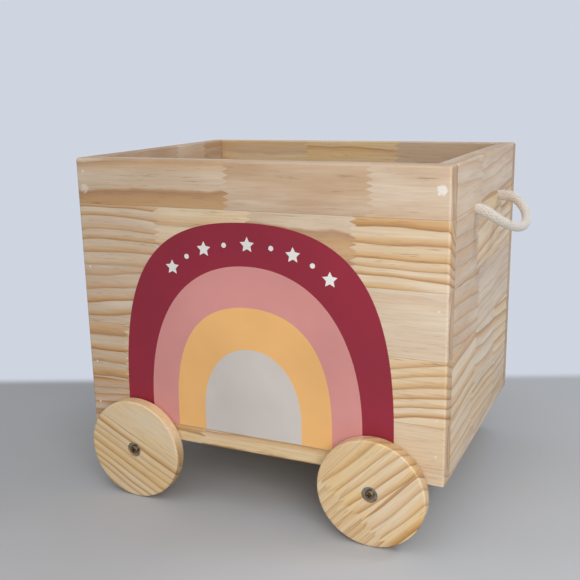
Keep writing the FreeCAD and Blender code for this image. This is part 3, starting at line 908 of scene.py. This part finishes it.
def braided_tube(name, line, material, swell=None, rounds=64, step=0.45 * MM):
    """A braided rope round a line. swell gives the radius's factor at a share of its length."""
    line = evenly(line, step)
    tangents = []
    for index in range(len(line)):
        before = line[max(0, index - 1)]
        after = line[min(len(line) - 1, index + 1)]
        tangents.append((after - before).normalized())
    side = tangents[0].orthogonal().normalized()
    if abs(tangents[0].z) < 0.9:
        side = (Vector((0, 0, 1)) - tangents[0] * tangents[0].z).normalized()
    mesh = bmesh.new()
    # groove holds how deep each point lies between the strands; the cotton material paints shade
    # into the grooves with it.
    groove = mesh.verts.layers.float.new("groove")
    rings = []
    distance = 0.0
    for index, (place, tangent) in enumerate(zip(line, tangents)):
        if index:
            distance += (place - line[index - 1]).length
        side = (side - tangent * side.dot(tangent)).normalized()
        other = tangent.cross(side)
        factor = swell(index / (len(line) - 1)) if swell else 1.0
        ring = []
        for number in range(rounds):
            turn = math.tau * number / rounds
            relief = braid_relief(turn, distance)
            radius = factor * ROPE_DIAMETER / 2 * (GROOVE_RADIUS + STRAND_HEIGHT * relief)
            outward = side * math.cos(turn) + other * math.sin(turn)
            vertex = mesh.verts.new(place + outward * radius)
            vertex[groove] = 1 - relief
            ring.append(vertex)
        rings.append(ring)
    for before, after in zip(rings, rings[1:]):
        for number in range(rounds):
            follower = (number + 1) % rounds
            mesh.faces.new((before[number], before[follower], after[follower], after[number]))
    mesh.faces.new(rings[0][::-1])
    mesh.faces.new(rings[-1])
    bmesh.ops.recalc_face_normals(mesh, faces=mesh.faces)
    data = bpy.data.meshes.new(name)
    mesh.to_mesh(data)
    mesh.free()
    for polygon in data.polygons:
        polygon.use_smooth = True
    data.materials.append(material)
    piece = bpy.data.objects.new(name, data)
    bpy.context.scene.collection.objects.link(piece)
    return piece


def bulge_at_holes(share):
    """The rope swells where it comes out of its holes, and is pulled thinner in between."""
    from_end = min(share, 1 - share)
    off = (from_end - SWELLING_PLACE) / SWELLING_PLACE
    return PULLED_THIN + SWELLING * math.exp(-(off**2))


def knot_route(side, level_y):
    """From inside the wall, once round a tight overhand knot, and out along its tail."""
    centre = Vector((WALL_INSIDE - KNOT_SETBACK, level_y, ROPE_LEVEL))
    route = [Vector((x, level_y, ROPE_LEVEL)) for x in THROUGH_WALL]
    for number in range(KNOT_STEPS + 1):
        share = number / KNOT_STEPS
        turn = math.tau * share
        along = math.sin(turn) + 2 * math.sin(2 * turn)
        up = math.cos(turn) - 2 * math.cos(2 * turn)
        weave = -math.sin(3 * turn) * KNOT_WEAVE + (share - 0.5) * KNOT_DRIFT
        route.append(centre + Vector((-along * KNOT_ALONG, weave, (up + 1) * KNOT_UP)))
    route.extend(centre + Vector(step) for step in KNOT_TAIL)
    return [Vector((side * point.x, point.y, point.z)) for point in route]


def make_rope(side_name, side, material):
    """The loop outside, and the knotted ends inside, which stay with the box."""
    node = side_name + "_rope_handle"
    route = [(side * x, y, z) for x, y, z in LOOP_ROUTE]
    line = smooth_line(node, route)
    loop = braided_tube(side_name + "_rope_loop", line, material, bulge_at_holes)
    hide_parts(node)
    for end_name, level_y in zip(("front", "rear"), ROPE_ENDS):
        knot_line = smooth_line("knot", knot_route(side, level_y))
        name = f"{side_name}_{end_name}_stopper_knot"
        knot = braided_tube(name, knot_line, material)
        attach(knot, "box")
    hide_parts(side_name + "_rope_knots")
    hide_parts(side_name + "_rope_knots")
    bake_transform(loop)


# ----------------------------------------------------------------------------------------- stage


# The even pale tone behind the box, on the far floor and above it, and how much of it falls on
# the box as soft light from all round.
BACKDROP = rgb(207, 213, 224)
AMBIENT = 0.55

# Half the width of the floor, and the line across it where it gives way to the backdrop: how far
# back that line is at x = 0, how much further back it is for each metre to the right, and where
# the change starts and ends beside it.
GROUND_REACH = 14.0
LINE_BACK = 0.292
LINE_SLOPE = 0.432
LINE_SOFT = (-0.01, 0.03)

BLACK = (0.0, 0.0, 0.0)


def make_floor():
    """A pale matt floor that gives way, behind the box, to the even tone of the backdrop."""
    mesh = bmesh.new()
    corners = ((-1, -1), (1, -1), (1, 1), (-1, 1))
    mesh.faces.new([mesh.verts.new((x * GROUND_REACH, y * GROUND_REACH, 0)) for x, y in corners])
    data = bpy.data.meshes.new("floor")
    mesh.to_mesh(data)
    mesh.free()
    floor = bpy.data.objects.new("floor", data)
    bpy.context.scene.collection.objects.link(floor)
    material, graph, shader, place = new_material("floor_paint")
    x, y, _ = graph.split(place.outputs["Object"])
    past = graph.less(y, graph.add(graph.times(x, LINE_SLOPE), LINE_BACK))
    wall = graph.remap(past, *LINE_SOFT, smooth=True)
    cloud = graph.noise(place.outputs["Object"], scale=3.0, detail=3.0)
    grain = graph.noise(place.outputs["Object"], scale=260.0, detail=2.0)
    ground = graph.mix(graph.remap(cloud, 0.3, 0.7), rgb(178, 179, 179), rgb(186, 187, 188))
    graph.feed(shader.inputs["Base Color"], graph.mix(wall, ground, BLACK))
    graph.feed(shader.inputs["Emission Color"], graph.mix(wall, BLACK, BACKDROP))
    shader.inputs["Specular IOR Level"].default_value = 0.0
    shader.inputs["Emission Strength"].default_value = 1.0
    shader.inputs["Roughness"].default_value = 0.75
    add_bump(graph, shader, grain, 0.1 * MM, 0.3)
    data.materials.append(material)


def add_lamp(name, light, direction):
    """Puts a light in the scene, shining in a direction."""
    lamp = bpy.data.objects.new(name, light)
    lamp.rotation_euler = Vector(direction).to_track_quat("-Z", "Y").to_euler()
    bpy.context.scene.collection.objects.link(lamp)
    return lamp


def area_light(name, place, target, size, energy, colour):
    """A round soft light that is aimed at a point."""
    light = bpy.data.lights.new(name, "AREA")
    light.shape = "DISK"
    light.size = size
    light.energy = energy
    light.color = colour
    lamp = add_lamp(name, light, Vector(target) - Vector(place))
    lamp.location = place


def sun_light(name, direction, angle, energy, colour):
    """Light from far away, softer the larger its angle."""
    light = bpy.data.lights.new(name, "SUN")
    light.energy = energy
    light.angle = angle
    light.color = colour
    add_lamp(name, light, direction)


def make_lights():
    area_light("key", (0.62, -0.88, 0.5), (0.1, 0, 0.18), 0.7, 5.3, (1.0, 0.97, 0.94))
    sun_light("overhead", (-0.05, 0.35, -1), 1.2, 0.85, (1.0, 0.98, 0.96))
    area_light("side", (1.2, 0.35, 1.5), (0.15, 0, 0.2), 0.5, 8, (0.84, 0.91, 1.0))


def make_world():
    """Seen directly it has the backdrop's full tone, and it lights the box more softly."""
    world = bpy.data.worlds.new("studio")
    bpy.context.scene.world = world
    world.use_nodes = True
    graph = Graph(world.node_tree)
    sky = world.node_tree.nodes["Background"]
    sky.inputs["Color"].default_value = (*BACKDROP, 1)
    seen = graph.node("LightPath").outputs["Is Camera Ray"]
    graph.feed(sky.inputs["Strength"], graph.remap(seen, 0, 1, AMBIENT, 1.0))


# Where the camera stands, and its turns in radians.
CAMERA_PLACE = (0.372, -0.853, 0.435)
CAMERA_YAW = -0.4353
CAMERA_PITCH = -0.2394
CAMERA_ROLL = -0.0195

# In millimetres.
CAMERA_LENS = 51.62
CAMERA_SENSOR = 36


def make_camera():
    forward = Vector(
        (
            math.sin(CAMERA_YAW) * math.cos(CAMERA_PITCH),
            math.cos(CAMERA_YAW) * math.cos(CAMERA_PITCH),
            math.sin(CAMERA_PITCH),
        )
    )
    level = Vector((math.cos(CAMERA_YAW), -math.sin(CAMERA_YAW), 0))
    upright = level.cross(forward)
    right = level * math.cos(CAMERA_ROLL) + upright * math.sin(CAMERA_ROLL)
    up = upright * math.cos(CAMERA_ROLL) - level * math.sin(CAMERA_ROLL)
    data = bpy.data.cameras.new("camera")
    data.sensor_width = CAMERA_SENSOR
    data.lens = CAMERA_LENS
    camera = bpy.data.objects.new("camera", data)
    camera.matrix_world = Matrix.Translation(CAMERA_PLACE) @ Matrix(
        (
            (right.x, up.x, -forward.x, 0),
            (right.y, up.y, -forward.y, 0),
            (right.z, up.z, -forward.z, 0),
            (0, 0, 0, 1),
        )
    )
    bpy.context.scene.collection.objects.link(camera)
    bpy.context.scene.camera = camera


make_camera()
rope_material = cotton("cotton_braid")
make_rope("left", -1, rope_material)
make_rope("right", 1, rope_material)
dress_boards()
dress_battens()
dress_wheels()
dress_fittings()
dress_rainbow()
make_floor()
make_lights()
make_world()
bpy.context.scene.view_settings.view_transform = "Standard"
